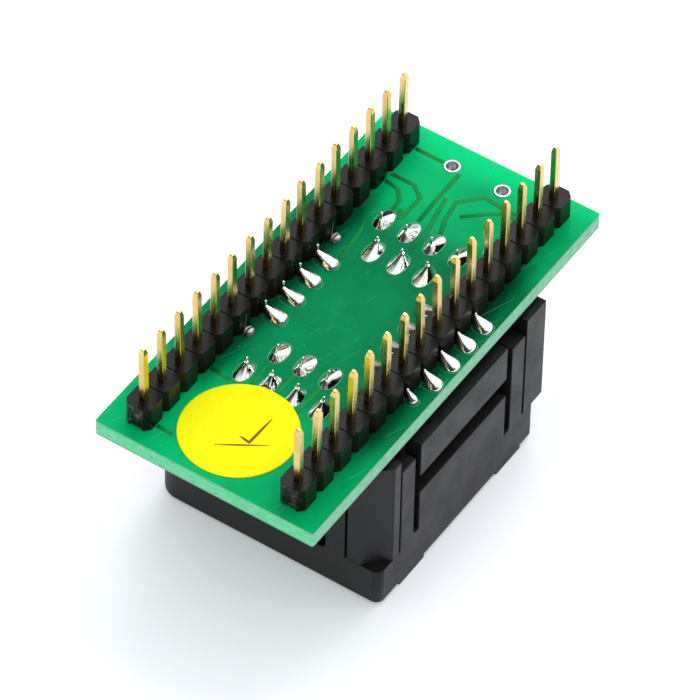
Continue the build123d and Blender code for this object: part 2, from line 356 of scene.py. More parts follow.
def newMaterial(name, **shaderValues):
    # a material, and Object coordinates counted in millimetres
    material, tree, shader = plainMaterial(name, shaderValues)
    place = addNode(tree, "ShaderNodeTexCoord").outputs
    spot = stretched(tree, place["Object"], (1 / mm,) * 3)
    return material, tree, shader, spot, place["Normal"]


def useGroup(tree, group, spot, **inputs):
    return addNode(tree, "ShaderNodeGroup", {"node_tree": group}, Vector=spot, **inputs).outputs


def grainTint(tree, grain, low, high):
    return mixColors(tree, remap(tree, grain["Tone"], 0.35, 0.65), low, high)


def dress(tree, shader, tint, roughness, height=None, bump=(0, 0)):
    # bump is its strength and its distance
    fill(tree, shader["Base Color"], tint)
    fill(tree, shader["Roughness"], roughness)
    if height is not None:
        made = addNode(tree, "ShaderNodeBump", Height=height, Strength=bump[0], Distance=bump[1])
        fill(tree, shader["Normal"], made.outputs["Normal"])


lacquer = dict(
    lit=(0.0005, 0.44, 0.135),      # over the white floor, where light comes through the board
    shaded=(0.0008, 0.225, 0.075),  # over the dark socket
    beside=(0.25, 0.34, 0.38),      # painted shade along the strips: what is left of the colour there
    shader=dict(Specular_IOR_Level=0.05, Specular_Tint=(0.03, 1.0, 0.6, 1.0)),
    waves=(0.25, 0.04 * mm), grainPerMm=1.4,
    smudge=(0.002, 0.29, 0.11), smudgesPerMm=0.32, smudged=(0.48, 0.75, 0.0, 0.45),
    hair=(0.03, 0.38, 0.07), hairsPerMm=0.42, hairAmount=0.35,
    scratch=(0.09, 0.50, 0.26), scratchAmount=0.5, scratchRough=0.3, speckAmount=0.75,
    marks=dict(Angle=0.36, Rarity=0.695),
    # brightness: at the middle, from the grain and the weave, for each mm across the board, and
    # from and to where along the board it rises at the far end, a painted light there
    tone=0.86, toneGrain=0.24, toneWeave=0.012, toneAcross=0.016, paintedFarLight=(17.0, 21.7, 0.0, 0.5),
    # painted shade: darker round the far joints, over the socket's far half
    paintedShadeFrom=(1.0, 6.0, 0.0, 0.16), paintedShadeTo=(9.5, 12.5, 1.0, 0.0),
)


def lacquered(name):
    material, tree, shader, spot, normal = newMaterial(name, **lacquer["shader"])
    gloss = useGroup(tree, lacquerGloss, spot)
    grain = useGroup(tree, mouldedGrain, spot, Per_mm=lacquer["grainPerMm"])
    return material, tree, shader, spot, normal, gloss, grain


def shadeBeside(tree, inBoard, tint):
    # painted shade in a band beside each strip
    return mixColors(tree, inBoard["Beside"], tint,
                     mixColors(tree, 1.0, tint, lacquer["beside"], "MULTIPLY"))


def lacquerColor(tree, spot, grain, gloss, marks, scratched):
    part = split(tree, spot)
    inBoard = useGroup(tree, boardLight, spot, Tone=grain["Tone"])
    green = mixColors(tree, inBoard["Through"], lacquer["shaded"], lacquer["lit"])
    smudges = noise(tree, spot, lacquer["smudgesPerMm"], 3.0)
    green = mixColors(tree, remap(tree, smudges, *lacquer["smudged"]), green, lacquer["smudge"])
    hairs = useGroup(tree, clothHairs, spot, Per_mm=lacquer["hairsPerMm"])["Hairs"]
    green = mixColors(tree, calc(tree, "MULTIPLY", hairs, lacquer["hairAmount"]), green,
                      lacquer["hair"])
    green = shadeBeside(tree, inBoard, green)
    tone = addShare(tree, lacquer["tone"], grain["Tone"], lacquer["toneGrain"])
    tone = addShare(tree, tone, part["Y"], lacquer["toneAcross"])
    # painted light: brighter towards the far end
    tone = calc(tree, "ADD", tone, remap(tree, part["X"], *lacquer["paintedFarLight"]))
    # painted shade round the far joints
    paintedFarShade = calc(tree, "MULTIPLY", remap(tree, part["X"], *lacquer["paintedShadeFrom"]),
                remap(tree, part["X"], *lacquer["paintedShadeTo"]))
    tone = calc(tree, "SUBTRACT", tone, paintedFarShade)
    tone = addShare(tree, tone, gloss["Weave"], lacquer["toneWeave"])
    green = mixColors(tree, 1.0, green, tone, "MULTIPLY")
    green = mixColors(tree, scratched, green, lacquer["scratch"])
    specks = calc(tree, "MULTIPLY", marks["Specks"], lacquer["speckAmount"])
    return mixColors(tree, specks, green, lacquer["scratch"])


cutEdge = dict(
    # fibreLitEnds is painted light: the cut edges facing along X are made lighter
    fibre=(0.28, 0.60, 0.41), fibreLitEnds=(0.19, 0.78, 0.40), resin=(0.22, 0.28, 0.11),
    dark=(0.72, 0.86, 0.76), pale=(0.45, 0.72, 0.56), roughness=0.45,
    stretch=(1.5, 1.5, 5.0), streaks=dict(scale=1.0, detail=4.0, Roughness=0.65),
    darkStreaks=(0.55, 0.38), paleStreaks=(0.56, 0.7, 0.0, 0.6), resinStreaks=(0.35, 0.6, 0.1, 0.6),
    resinLine=(0.22, 0.08),         # mm from the board's face
)


def edgeColor(tree, spot, streaks, facingX):
    # glass cloth in layers, streaked along the cut, with a resin line by each face
    # painted light: lighter where the cut faces along X
    fibre = mixColors(tree, calc(tree, "ABSOLUTE", facingX), cutEdge["fibre"], cutEdge["fibreLitEnds"])
    fibre = mixColors(tree, remap(tree, streaks, *cutEdge["darkStreaks"]), fibre, cutEdge["dark"],
                      "MULTIPLY")
    fibre = mixColors(tree, remap(tree, streaks, *cutEdge["paleStreaks"]), fibre, cutEdge["pale"])
    middle, half = (boardTop + boardUnder) / 2 / mm, (boardTop - boardUnder) / 2 / mm
    level = calc(tree, "ABSOLUTE", calc(tree, "SUBTRACT", split(tree, spot)["Z"], middle))
    line = calc(tree, "MULTIPLY",
                remap(tree, level, *(half - depth for depth in cutEdge["resinLine"])),
                remap(tree, streaks, *cutEdge["resinStreaks"]))
    return mixColors(tree, line, fibre, cutEdge["resin"])


def boardMaterial():
    material, tree, shader, spot, normal, gloss, grain = lacquered("greenLacquer")
    facing = split(tree, normal)
    flat = remap(tree, calc(tree, "ABSOLUTE", facing["Z"]), 0.4, 0.6)
    cut = calc(tree, "SUBTRACT", 1.0, flat)
    marks = useGroup(tree, handlingMarks, spot, **lacquer["marks"])
    scratched = calc(tree, "MULTIPLY", marks["Scratches"], lacquer["scratchAmount"])
    streaks = noise(tree, stretched(tree, spot, cutEdge["stretch"]), **cutEdge["streaks"])
    green = lacquerColor(tree, spot, grain, gloss, marks, scratched)
    fibre = edgeColor(tree, spot, streaks, facing["X"])
    rough = addShare(tree, gloss["Roughness"], cut, cutEdge["roughness"])
    rough = addShare(tree, rough, scratched, lacquer["scratchRough"])
    dress(tree, shader, mixColors(tree, flat, fibre, green), rough,
          addShare(tree, gloss["Height"], cut, streaks), lacquer["waves"])
    return material


traces = dict(width=0.4 * mm, rise=0.012 * mm, lit=(0.013, 0.235, 0.06),
              shaded=(0.011, 0.25, 0.066), copper=(1.5, 1.15, 0.9))


def traceMaterial():
    material, tree, shader, spot, _, gloss, grain = lacquered("copperUnderLacquer")
    inBoard = useGroup(tree, boardLight, spot, Tone=grain["Tone"])
    tint = mixColors(tree, inBoard["Through"], traces["shaded"], traces["lit"])
    tint = grainTint(tree, grain, tint, mixColors(tree, 1.0, tint, traces["copper"], "MULTIPLY"))
    dress(tree, shader, shadeBeside(tree, inBoard, tint), gloss["Roughness"], gloss["Height"],
          lacquer["waves"])
    return material


def grained(name, look):
    # a material, its grain and the colour that this gives it
    material, tree, shader, spot, _ = newMaterial(name, **look["shader"])
    grain = useGroup(tree, mouldedGrain, spot, Per_mm=look["grainPerMm"])
    return material, tree, shader, spot, grain, grainTint(tree, grain, *look["tints"])


gilt = dict(shader=dict(Metallic=1.0), tints=((0.70, 0.49, 0.15), (0.82, 0.61, 0.25)),
            grainPerMm=1.2, drawn=(14.0, 14.0, 0.5), rough=(0.13, 0.3), lines=(0.2, 0.01 * mm))


def goldMaterial():
    material, tree, shader, spot, _, tint = grained("pinGilt", gilt)
    lines = noise(tree, stretched(tree, spot, gilt["drawn"]), 1.0, 3.0)
    dress(tree, shader, tint, remap(tree, lines, 0.3, 0.7, *gilt["rough"]), lines, gilt["lines"])
    return material


solderLook = dict(lump=dict(scale=2.2, detail=3.0, Roughness=0.55), lumpRise=0.12 * mm,
                  frostPerMm=5.0, frostDark=0.72)


def tinMaterial(name, tint, rough, lumps):
    # solder and tin: shallow lumps and frosted patches, between the two values of rough
    material, tree, shader, spot, _ = newMaterial(name, Metallic=1.0)
    lump = noise(tree, spot, **solderLook["lump"])
    frost = noise(tree, spot, solderLook["frostPerMm"])
    darker = tuple(solderLook["frostDark"] * part for part in tint)
    dress(tree, shader, mixColors(tree, remap(tree, frost, 0.45, 0.75), tint, darker),
          remap(tree, frost, 0.35, 0.7, *rough), lump, (lumps, solderLook["lumpRise"]))
    return material


plasticLook = dict(marks=dict(Angle=1.1, Rarity=0.74), paler=1.35, scratchAmount=0.25,
                   speckAmount=0.35, relief=0.02 * mm)
# the ends where a strip was snapped off a longer one: from and to in mm along X, and the look
snapped = dict(ends=(20.2, 20.3), relief=14.0, pale=0.5,
               tear=dict(scale=1.9, detail=3.0, Roughness=0.6, Distortion=0.8))


def plasticMaterial(name, tint, dusty, shine, rough, perMm, depth, torn=False):
    # moulded black plastic: a fine skin, slow changes of gloss, pale scuffs and specks
    material, tree, shader, spot, _ = newMaterial(name, Specular_IOR_Level=shine)
    grain = useGroup(tree, mouldedGrain, spot, Per_mm=perMm)
    marks = useGroup(tree, handlingMarks, spot, **plasticLook["marks"])
    base = grainTint(tree, grain, tint, tuple(plasticLook["paler"] * part for part in tint))
    scratches = calc(tree, "MULTIPLY", marks["Scratches"], plasticLook["scratchAmount"])
    scuffs = addShare(tree, scratches, marks["Specks"], plasticLook["speckAmount"])
    height = grain["Height"]
    if torn:
        atEnd = remap(tree, calc(tree, "ABSOLUTE", split(tree, spot)["X"]), *snapped["ends"])
        ridge = calc(tree, "MULTIPLY", atEnd, noise(tree, spot, **snapped["tear"]))
        height = addShare(tree, height, ridge, snapped["relief"])
        scuffs = addShare(tree, scuffs, remap(tree, ridge, 0.5, 0.75), snapped["pale"])
    dress(tree, shader, mixColors(tree, scuffs, base, dusty),
          remap(tree, grain["Tone"], 0.35, 0.65, *rough), height, (depth, plasticLook["relief"]))
    return material


paper = dict(shader=dict(Specular_IOR_Level=0.05), grainPerMm=3.0,
             tints=((0.93, 0.88, 0.002), (0.97, 0.95, 0.005)), speck=(0.98, 0.97, 0.4),
             speckAmount=0.5, marks=dict(Angle=2.0, Rarity=0.72), rough=(0.38, 0.55),
             fibres=(0.25, 0.02 * mm))


def labelMaterial():
    material, tree, shader, spot, grain, tint = grained("yellowPaper", paper)
    marks = useGroup(tree, handlingMarks, spot, **paper["marks"])
    specks = calc(tree, "MULTIPLY", marks["Specks"], paper["speckAmount"])
    dress(tree, shader, mixColors(tree, specks, tint, paper["speck"]),
          remap(tree, grain["Tone"], 0.3, 0.7, *paper["rough"]), grain["Height"],
          paper["fibres"])
    return material


ink = dict(shader=dict(Specular_IOR_Level=0.3), tints=((0.10, 0.06, 0.008), (0.24, 0.17, 0.01)),
           grainPerMm=6.0, rough=(0.4, 0.6), rise=0.006 * mm)


def inkMaterial():
    material, tree, shader, _, grain, tint = grained("brownInk", ink)
    dress(tree, shader, tint, remap(tree, grain["Tone"], 0.3, 0.7, *ink["rough"]))
    return material


# the lacquer's raised edge round a pad, thin enough to glisten
lip = dict(shader=dict(Specular_IOR_Level=0.6), tints=((0.004, 0.22, 0.085), (0.01, 0.30, 0.12)),
           grainPerMm=2.0, waves=(0.2, 0.03 * mm))


def lipMaterial():
    material, tree, shader, spot, _, tint = grained("lacquerLip", lip)
    gloss = useGroup(tree, lacquerGloss, spot)
    dress(tree, shader, tint, gloss["Roughness"], gloss["Height"], lip["waves"])
    return material


greenLacquer = boardMaterial()
copperUnderLacquer = traceMaterial()
lacquerLip = lipMaterial()
pinGilt = goldMaterial()
brightSolder = tinMaterial("brightSolder", (0.93, 0.93, 0.91), rough=(0.04, 0.12), lumps=0.12)
dullTin = tinMaterial("dullTin", (0.66, 0.65, 0.65), rough=(0.36, 0.44), lumps=0.04)
frostedSolder = tinMaterial("frostedSolder", (0.44, 0.42, 0.43), rough=(0.34, 0.42), lumps=0.2)
contactTin = tinMaterial("contactTin", (0.82, 0.78, 0.68), rough=(0.2, 0.35), lumps=0.15)
stripPlastic = plasticMaterial("stripPlastic", (0.0055, 0.005, 0.0042), dusty=(0.2, 0.2, 0.18),
                               shine=0.16, rough=(0.22, 0.36), perMm=5.0, depth=0.3, torn=True)
socketPlastic = plasticMaterial("socketPlastic", (0.0075, 0.0072, 0.0075),
                                dusty=(0.11, 0.11, 0.12), shine=0.25, rough=(0.38, 0.5),
                                perMm=9.0, depth=0.5)
yellowPaper = labelMaterial()
brownInk = inkMaterial()
print("materials made")


for node, material, slotName in (
        ("circuit_board", greenLacquer, "board_laminate"),
        ("contact_frame", socketPlastic, "socket_plastic"),
        ("tail_joints_left", brightSolder, "solder"),
        ("tail_joints_right", brightSolder, "solder")):
    setMaterial(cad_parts[node], material)

contactEnd = 0.12 * mm    # how far a lead reaches up into its solder


def springContacts(side):
    # the stamped contacts, each lead ending inside its solder; the rounded tips come with it
    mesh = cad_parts[f"contacts_{side}"].data.copy()
    mesh.name = f"springContacts_{side}"
    for vertex in mesh.vertices:
        vertex.co.z = min(vertex.co.z, boardTop + contactEnd)
    finishPiece(placeObject(mesh.name, mesh), contactTin, [f"contacts_{side}"])


for side in ("right", "far", "left", "near"):
    springContacts(side)

for part in ("base", "cover"):
    softenedCopy(f"socket{part.capitalize()}", f"socket_{part}", softEdges["socket"],
                 socketPlastic)
for side in ("left", "right"):
    softenedCopy(f"headerStrip_{side}", f"header_strip_{side}", softEdges["strip"],
                 stripPlastic)
print("socket and strips softened")


pins = dict(
    perRow=16, pitch=2.54 * mm, rowSpacing=15.24 * mm,
    half=0.3 * mm, corner=0.045 * mm,
    pointLength=0.5 * mm, pointHalf=0.15 * mm,
    shoulder=(0.03 * mm, 0.04 * mm, 0.95),  # below and above the point's start, and size there
    blunt=(0.04 * mm, 0.03 * mm),           # down from the tip, and in and out from pointHalf
    lean=0.05 * mm, twist=2.5,              # how far a tip stands off, and degrees of twist
    sharpFrom=12, seed=4,
)


def pinRow(side, y):
    # a square with cut corners carried up the pin and drawn in to the point:
    # point = place + lean * height share + size(level) * turned square
    count, half = pins["perRow"], pins["half"]
    cut = 1 - pins["corner"] / half
    square = np.array([(1, -cut), (1, cut), (cut, 1), (-cut, 1), (-1, cut), (-1, -cut), (-cut, -1),
                       (cut, -1)])
    tipStart, tip = pinTop - pins["pointLength"], pins["pointHalf"]
    (below, above, drawn), (down, inOut) = pins["shoulder"], pins["blunt"]
    height = np.array([socketTop, boardTop, stripTop, (stripTop + tipStart) / 2,
                       tipStart - below, tipStart + above, pinTop - down, pinTop])
    size = np.array([1, 1, 1, 1, 1, drawn, (tip + inOut) / half, (tip - inOut) / half]) * half
    chance = np.random.default_rng(pins["seed"] + int(y > 0))
    share = np.clip((height - stripTop) / (pinTop - stripTop), 0, 1)
    lean = chance.normal(0, pins["lean"], (count, 1, 2)) * share[None, :, None]
    twist = np.radians(chance.normal(0, pins["twist"], count))
    cos, sin = np.cos(twist)[:, None], np.sin(twist)[:, None]
    spun = np.stack([square[:, 0] * cos - square[:, 1] * sin,
                     square[:, 0] * sin + square[:, 1] * cos], -1)
    centre = (count - 1) / 2 * pins["pitch"] - np.arange(count) * pins["pitch"]
    points = np.zeros((count, len(height), len(square), 3))
    points[..., :2] = size[None, :, None, None] * spun[:, None] + lean[:, :, None]
    points[..., 0] += centre[:, None, None]
    points[..., 1] += y
    points[..., 2] = height[None, :, None]
    makePiece(f"pins_{side}", points, tubeFaces(*points.shape[:3]), pinGilt, "pin_gilt",
              [f"header_pin_{side}_{i + 1:02d}" for i in range(count)],
              sharpAngle=pins["sharpFrom"])


for side, sign in (("left", 1), ("right", -1)):
    pinRow(side, sign * pins["rowSpacing"] / 2)
print("pins made")


# names that end in Spread: the least and the most of a random factor
joints = dict(
    pitch=1.27 * mm, sharpFrom=50, seed=11,
    # drops on the long sides: narrow at the lead, blunt and wide at the pad's end
    back=0.3 * mm, leadHalf=0.35 * mm, endHalf=0.77 * mm, endCap=0.5 * mm,
    endRise=0.5 * mm, bend=0.08 * mm, widenOver=0.6, fall=1.4, capFall=0.8, fullness=0.95,
    groove=0.16, grooveAt=2.5, grooveHalf=0.22, grooveEnds=0.7,
    lengthSpread=(0.95, 1.05), widthSpread=(0.93, 1.06), riseSpread=(0.94, 1.05),
    grooveSpread=(0.5, 1.1),
    # ovals on the short sides, rising to the lead
    ovalHalf=(1.25 * mm, 0.73 * mm), ovalNeck=0.17 * mm, fluteDepth=0.1, flutes=(4, 8),
    bluntSpread=(2.0, 2.6), longSpread=(0.95, 1.03), shortSpread=(0.93, 1.04),
    fluteSpread=(0.3, 1.0), ovalRiseSpread=(0.94, 1.06),
    # the solder-covered lead end: stem, then a ball
    stem=0.12 * mm, stemFoot=0.25 * mm, ball=0.155 * mm, tipSway=0.03 * mm,
)
# the lacquer's bead round a pad; reach is the middle and half length of a drop's pad, in lengths
padLip = dict(gap=0.05 * mm, half=0.05 * mm, rise=0.024 * mm, bluntness=2.3, reach=(0.46, 0.54))
# leads, inner and outer row; then degrees of turn for each side
longRows, shortRows = (9, 6.05 * mm, 8.95 * mm), (7, 7.62 * mm, 10.16 * mm)
leadRows = dict(right=(0, *longRows), far=(90, *shortRows), left=(180, *longRows),
                near=(270, *shortRows))
# length, height at the lead, and height of the lead's tip
drops = dict(inner=(2.1 * mm, 0.98 * mm, 1.6 * mm), outer=(1.7 * mm, 1.25 * mm, 1.32 * mm),
             leftOuter=(0.95 * mm, 0.75 * mm, 0.95 * mm))
# how far the pad's middle lies outwards from the lead, the lean of the tip, height at the lead,
# and the profile: over 1 hollow as a tent, under 1 full as a drop
ovals = dict(
    far=dict(outer=(0.42 * mm, 0.0, 0.55 * mm, 0.85), inner=(-0.6 * mm, 0.0, 0.92 * mm, 1.35)),
    near=dict(outer=(0.05 * mm, -0.4 * mm, 0.92 * mm, 1.35),
              inner=(-0.75 * mm, -0.5 * mm, 0.5 * mm, 0.85)),
)
ovalTip = 1.35 * mm
smallDrop = dict(side="right", lead=-4, scale=0.6)    # one starved joint, counted from the middle
label = dict(radius=5.1 * mm, thickness=0.09 * mm, waviness=0.008 * mm, waves=(900, 1100),
             edgeShare=0.8, ruleWidth=0.16 * mm, tickWidth=0.26 * mm, turn=-57,
             # the swell over the joints: height, middle along X, half sizes, room for solder
             lift=0.16 * mm, liftX=-11.1 * mm, liftHalf=(0.55 * mm, 0.6 * mm), solderShare=0.6)
labelX, labelY, _ = np.mean(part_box("inspection_label"), 0)


def labelHeight(x, y):
    # paper thickness, a slow wave, and a swell where the near joints run under the edge
    (waveX, waveY), (halfX, halfY) = label["waves"], label["liftHalf"]
    height = label["thickness"] + label["waviness"] * np.sin(waveX * x) * np.sin(waveY * y)
    for jointY in (-joints["pitch"], joints["pitch"]):
        away = ((x - label["liftX"]) / halfX) ** 2 + ((y - jointY) / halfY) ** 2
        height = height + label["lift"] * np.exp(-away)
    return height


def turned(x, y, degrees):
    angle = math.radians(degrees)
    return x * math.cos(angle) - y * math.sin(angle), x * math.sin(angle) + y * math.cos(angle)


def dropJoints(u, v, settings, way, turnDegrees, chance, scale):
    # half ellipses carried along each joint: across = half width * cos, up = height * sin, less a
    # groove down one flank. The half width grows from the lead to the pad's end while the height
    # falls, and both close on a quarter circle at the two ends
    (length, leadRise, _), count, around = settings, len(u), 23
    share = np.concatenate([-np.cos(np.linspace(0, np.pi / 2, 7))[:-1], np.linspace(0, 0.7, 10),
                            1 - 0.3 * (1 - np.sin(np.linspace(0, np.pi / 2, 10)[1:]))])
    length = (length * chance.uniform(*joints["lengthSpread"], count) * scale)[:, None]
    along = np.where(share < 0, share * joints["back"], share * length)
    nearlyOne = 0.9995    # leaves a small flat face at each end instead of a pole
    cap = np.clip((along - length + joints["endCap"]) / joints["endCap"], 0, nearlyOne)
    closing = np.sqrt(1 - cap ** 2) * np.sqrt(1 - np.clip(-share, 0, nearlyOne) ** 2)
    t = np.clip(along / length, 0, 1)
    half = joints["leadHalf"] + (
        joints["endHalf"] * chance.uniform(*joints["widthSpread"], (count, 1)) - joints["leadHalf"]
    ) * np.sin(np.clip(t / joints["widenOver"], 0, 1) * np.pi / 2)
    half = half * scale[:, None]
    rise = joints["endRise"] + (
        leadRise * chance.uniform(*joints["riseSpread"], (count, 1)) - joints["endRise"]
    ) * (1 - t) ** joints["fall"]
    arc = np.linspace(0, np.pi, around)
    groove = joints["groove"] * chance.uniform(*joints["grooveSpread"], (count, 1, 1)) * np.exp(
        -((arc - joints["grooveAt"]) / joints["grooveHalf"]) ** 2
    ) * (np.sin(np.pi * t) ** joints["grooveEnds"])[..., None]
    shift = joints["bend"] * chance.uniform(-1, 1, (count, 1)) * t ** 2
    across = shift[..., None] + (half * closing)[..., None] * np.cos(arc)
    height = (rise * closing ** joints["capFall"])[..., None] * np.sin(
        arc) ** joints["fullness"] * (1 - groove)
    x, y = turned(u[:, None, None] + across * way, -(v + along[..., None] * way), turnDegrees)
    points = np.stack([x, y, boardTop + height], -1)
    return points, tubeFaces(count, len(share), around)


def ovalRing(theta, bluntness):
    # a superellipse: the larger the bluntness, the fuller the corners
    cos, sin = np.cos(theta), np.sin(theta)
    power = 2 / bluntness
    return np.sign(cos) * np.abs(cos) ** power, np.sign(sin) * np.abs(sin) ** power


def ovalJoints(u, v, shape, turnDegrees, chance):
    # rings from the pad's outline in to the lead:
    # place = lead + (outline - lead) * (1 - t)^profile, with radial flutes, height = rise * t
    offset, lean, leadRise, profile = shape
    count, around, climb = len(u), 56, 18
    theta = fullTurn(around)
    bluntness = chance.uniform(*joints["bluntSpread"], (count, 1))
    alongRing, acrossRing = ovalRing(theta[None], bluntness)
    longHalf, shortHalf = joints["ovalHalf"]
    alongRing = alongRing * longHalf * chance.uniform(*joints["longSpread"], (count, 1)) + offset
    acrossRing = acrossRing * shortHalf * chance.uniform(*joints["shortSpread"], (count, 1))
    t = np.linspace(0, 1, climb)[None, :, None]
    phase = chance.uniform(0, 6.28, (count, 1, 1))
    flutes = chance.integers(*joints["flutes"], (count, 1, 1))
    depth = joints["fluteDepth"] * chance.uniform(*joints["fluteSpread"], (count, 1, 1))
    draw = (1 - t) ** profile * (1 + depth * np.sin(flutes * theta + phase) * 4 * t * (1 - t))
    neck, foot = joints["ovalNeck"], lean * leadRise / ovalTip
    alongNeck, acrossNeck = foot + neck * np.cos(theta), neck * np.sin(theta)
    along = alongNeck + (alongRing[:, None] - alongNeck) * draw
    across = acrossNeck + (acrossRing[:, None] - acrossNeck) * draw
    rise = leadRise * chance.uniform(*joints["ovalRiseSpread"], (count, 1, 1))
    x, y = turned(u[:, None, None] + across, -(v[:, None, None] + along), turnDegrees)
    points = np.stack([x, y, np.broadcast_to(boardTop + rise * t, x.shape)], -1)
    under = np.hypot(points[..., 0] - labelX, points[..., 1] - labelY) < label["radius"]
    roof = boardTop + label["solderShare"] * labelHeight(points[..., 0], points[..., 1])
    points[..., 2] = np.where(under, np.minimum(points[..., 2], roof), points[..., 2])
    return points, tubeFaces(count, climb, around)


def leadTips(u, v, top, lean, turnDegrees, chance):
    # a thin stem out of the solder and a small ball on it, spun round each lead and leaning out
    count, theta = len(u), fullTurn(16)
    stem, ball = joints["stem"], joints["ball"]
    swell = np.linspace(-0.75, np.pi / 2 - 0.06, 8)
    radius = np.concatenate([[stem, stem], ball * np.cos(swell)])[:, None]
    height = np.concatenate([[joints["stemFoot"], top - 2.1 * ball],
                             top - ball + ball * np.sin(swell)])[:, None]
    sway = chance.normal(0, joints["tipSway"], (count, 1, 1))
    x, y = turned(u[:, None, None] + radius * np.cos(theta) + sway,
                  -(v[:, None, None] + lean * height / top + radius * np.sin(theta)), turnDegrees)
    z = np.broadcast_to(boardTop + height, x.shape)
    return np.stack([x, y, z], -1), tubeFaces(count, len(height), len(theta))


def leadPlaces(count, inner, outer):
    index = np.arange(count)
    outside = index % 2 == 0
    return (index - count // 2) * joints["pitch"], np.where(outside, outer, inner), outside


def dropShape(side, row, u):
    # a drop's sizes, and its scale for each lead
    starved = (side == smallDrop["side"]) & (np.round(u / joints["pitch"]) == smallDrop["lead"])
    scale = np.where(starved, smallDrop["scale"], 1.0)
    return drops.get(side + row.capitalize(), drops[row]), scale


def solderJoints(side, turnDegrees, count, inner, outer):
    chance = np.random.default_rng(joints["seed"] + turnDegrees)
    u, v, outside = leadPlaces(count, inner, outer)
    parts = []
    for chosen, way, row in ((outside, 1, "outer"), (~outside, -1, "inner")):
        rowU, rowV = u[chosen], v[chosen]
        if side in ovals:
            shape = ovals[side][row]
            parts.append(ovalJoints(rowU, rowV, shape, turnDegrees, chance))
            parts.append(leadTips(rowU, rowV, ovalTip, shape[1], turnDegrees, chance))
        else:
            shape, scale = dropShape(side, row, rowU)
            parts.append(dropJoints(rowU, rowV[:, None, None], shape, way, turnDegrees, chance,
                                    scale))
            parts.append(leadTips(rowU, rowV, shape[2], 0.0, turnDegrees, chance))
    makePiece(f"solder_{side}", *joinParts(*parts), brightSolder, "solder",
              [f"lead_joints_{side}"], sharpAngle=joints["sharpFrom"])


def padLips():
    # a fine raised bead of lacquer round each pad
    parts, theta, gap = [], fullTurn(40), padLip["gap"]
    reachMiddle, reachHalf = padLip["reach"]
    for side, (turnDegrees, count, inner, outer) in leadRows.items():
        for u, v, outside in zip(*leadPlaces(count, inner, outer)):
            row = "outer" if outside else "inner"
            if side in ovals:
                middle, (longHalf, shortHalf) = v + ovals[side][row][0], joints["ovalHalf"]
            else:
                (length, *_), scale = dropShape(side, row, u)
                length, way = length * scale, (1 if outside else -1)
                middle, longHalf = v + way * length * reachMiddle, length * reachHalf
                shortHalf = joints["endHalf"] * scale
            along, across = ovalRing(theta, padLip["bluntness"])
            x, y = turned(u + across * (shortHalf + gap), -(middle + along * (longHalf + gap)),
                          turnDegrees)
            if np.hypot(x - labelX, y - labelY).min() > label["radius"]:
                parts.append(sweepRibbon(np.stack([x, y], -1), padLip["half"], padLip["rise"],
                                         boardTop, closed=True))
    makePiece("padLips", *joinParts(*parts), lacquerLip, "board_laminate")


for side, settings in leadRows.items():
    solderJoints(side, *settings)
padLips()
print("solder joints made")


viaDome = dict(x=6.42 * mm, y=5.96 * mm, radius=0.56 * mm, rise=0.5 * mm, flatness=3.6,
               crease=0.055 * mm, creaseDepth=0.5, creaseTurn=-10, sharpFrom=60)
# the wire's foot beside the dome's middle, and how far it leans on its way to the top
viaWire = dict(half=0.04 * mm, foot=(-0.25 * mm, 0.3 * mm, 0.05 * mm), run=(0.55 * mm, 0.1 * mm),
               top=1.7 * mm, endShare=0.4)


def filledVias():
    # a flattened dome, height = rise * (1 - share^flatness)^0.5, with one crease across its top,
    # and a thin wire end bent over beside it
    around, rings, levels = 40, 14, 7
    share = np.linspace(1, 0.02, rings)[:, None]
    theta = fullTurn(around)
    radius, rise = viaDome["radius"], viaDome["rise"]
    (footX, footY, footZ), (runX, runY) = viaWire["foot"], viaWire["run"]
    parts, y = [], viaDome["y"]
    for x in (viaDome["x"], -viaDome["x"]):
        along, across = radius * share * np.cos(theta), radius * share * np.sin(theta)
        height = rise * np.clip(1 - share ** viaDome["flatness"], 0, 1) ** 0.5
        groove = np.exp(-(across / viaDome["crease"]) ** 2) * (share < 0.96)
        height = height * (1 - viaDome["creaseDepth"] * groove)
        along, across = turned(along, across, viaDome["creaseTurn"])
        parts.append((np.stack([x + along, y + across, boardTop + height], -1),
                      tubeFaces(1, rings, around)))
        level = np.linspace(0, 1, levels)[:, None]
        thick = viaWire["half"] * np.where(level < 1, 1, viaWire["endShare"])
        ring = theta[None, ::4]
        wireX = x + footX + runX * level + thick * np.cos(ring)
        wireY = y + footY + runY * level + thick * np.sin(ring)
        wireZ = boardTop + footZ + (viaWire["top"] - footZ) * level + 0 * ring
        parts.append((np.stack([wireX, wireY, wireZ], -1), tubeFaces(1, levels, ring.shape[1])))
    makePiece("filledVias", *joinParts(*parts), frostedSolder, "solder", ["via_caps"],
              sharpAngle=viaDome["sharpFrom"])


filledVias()
print("filled vias made")


eyelet = dict(bore=0.5 * mm, ring=0.78 * mm, rise=0.09 * mm, fullness=0.9, x=19.05 * mm,
              spacing=5.08 * mm)


def platedHole(side, y):
    # one closed section spun round the hole's axis: up the bore, over a rounded lip on the
    # pin side, down inside the board and round the lip on the other side
    bore, ring = eyelet["bore"], eyelet["ring"]
    middle, half = (bore + ring) / 2, (ring - bore) / 2
    lip = np.linspace(0, np.pi, 13)
    bulge = eyelet["rise"] * np.sin(lip) ** eyelet["fullness"]
    top = np.stack([middle - half * np.cos(lip), boardTop + bulge], -1)
    under = np.stack([middle + half * np.cos(lip), boardUnder - bulge], -1)
    section = np.concatenate([top, under])
    turn = fullTurn(48)
    points = np.stack([eyelet["x"] + section[:, None, 0] * np.cos(turn),
                       y + section[:, None, 0] * np.sin(turn),
                       section[:, None, 1] + 0 * turn], -1)
    makePiece(f"platedHole_{side}", points, ringFaces(len(section), len(turn)), dullTin,
              "hole_plating", [f"spare_hole_ring_{side}"])


for side, sign in (("left", 1), ("right", -1)):
    platedHole(side, sign * eyelet["spacing"] / 2)
print("plated holes made")


